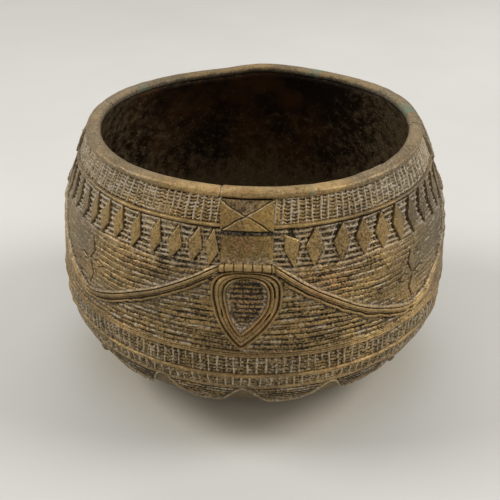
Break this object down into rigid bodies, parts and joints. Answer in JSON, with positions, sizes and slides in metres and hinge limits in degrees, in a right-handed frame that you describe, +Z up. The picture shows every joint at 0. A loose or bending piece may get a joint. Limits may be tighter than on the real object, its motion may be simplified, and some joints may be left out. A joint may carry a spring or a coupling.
{
  "type": "bronze container",
  "caption": "Round-bottomed cast bronze bowl with a coiled rim, thread and lattice relief, straps with pendants, hanging swags and a scalloped border.",
  "frame": {"origin": "centre of the small flat foot, on the bowl's axis, at the surface it stands on", "axes": "+Z up along the bowl's axis; the strap and pendant at the front of the picture face -Y; +X to the right"},
  "size_m": [0.1621, 0.162, 0.1053],
  "materials": {
    "wall_bronze": "dark, mottled, slightly rough cast bronze",
    "rim_bronze": "rubbed bronze with green patina in places",
    "plate_bronze": "rubbed satin bronze",
    "cord_bronze": "rubbed satin bronze, pale dust at the edges",
    "thread_bronze": "matt bronze with pale dust in the grooves"
  },
  "bodies": {
    "root": {"belly_edge_cord": "cord_bronze", "belly_lattice_band": "thread_bronze", "bowl_shell": "wall_bronze", "crossed_plate_back": "plate_bronze", "crossed_plate_front": "plate_bronze", "crossed_plate_left": "plate_bronze", "crossed_plate_right": "plate_bronze", "edge_cord_back_left": "cord_bronze", "edge_cord_back_right": "cord_bronze", "edge_cord_front_left": "cord_bronze", "edge_cord_front_right": "cord_bronze", "festoon_cord": "cord_bronze", "festoon_threads": "thread_bronze", "festoon_top_cord": "cord_bronze", "lattice_band_back_left": "thread_bronze", "lattice_band_back_right": "thread_bronze", "lattice_band_front_left": "thread_bronze", "lattice_band_front_right": "thread_bronze", "notched_bar_back": "cord_bronze", "notched_bar_front": "cord_bronze", "notched_bar_left": "cord_bronze", "notched_bar_right": "cord_bronze", "pendant_ground_back": "thread_bronze", "pendant_ground_front": "thread_bronze", "pendant_ground_left": "thread_bronze", "pendant_ground_right": "thread_bronze", "pendant_inner_cord_back": "cord_bronze", "pendant_inner_cord_front": "cord_bronze", "pendant_inner_cord_left": "cord_bronze", "pendant_inner_cord_right": "cord_bronze", "pendant_middle_cord_back": "cord_bronze", "pendant_middle_cord_front": "cord_bronze", "pendant_middle_cord_left": "cord_bronze", "pendant_middle_cord_right": "cord_bronze", "pendant_outer_cord_back": "cord_bronze", "pendant_outer_cord_front": "cord_bronze", "pendant_outer_cord_left": "cord_bronze", "pendant_outer_cord_right": "cord_bronze", "plain_plate_back": "plate_bronze", "plain_plate_front": "plate_bronze", "plain_plate_left": "plate_bronze", "plain_plate_right": "plate_bronze", "rim_coil_back": "rim_bronze", "rim_coil_front_left": "rim_bronze", "rim_coil_front_right": "rim_bronze", "rim_coil_right": "rim_bronze", "swag_cord_back_left": "cord_bronze", "swag_cord_back_right": "cord_bronze", "swag_cord_front_left": "cord_bronze", "swag_cord_front_right": "cord_bronze", "swag_thread_back_left": "cord_bronze", "swag_thread_back_right": "cord_bronze", "swag_thread_front_left": "cord_bronze", "swag_thread_front_right": "cord_bronze", "thread_panel_back_left": "thread_bronze", "thread_panel_back_right": "thread_bronze", "thread_panel_front_left": "thread_bronze", "thread_panel_front_right": "thread_bronze", "under_edge_cord": "cord_bronze", "under_lattice_band": "thread_bronze"}
  },
  "joints": []
}
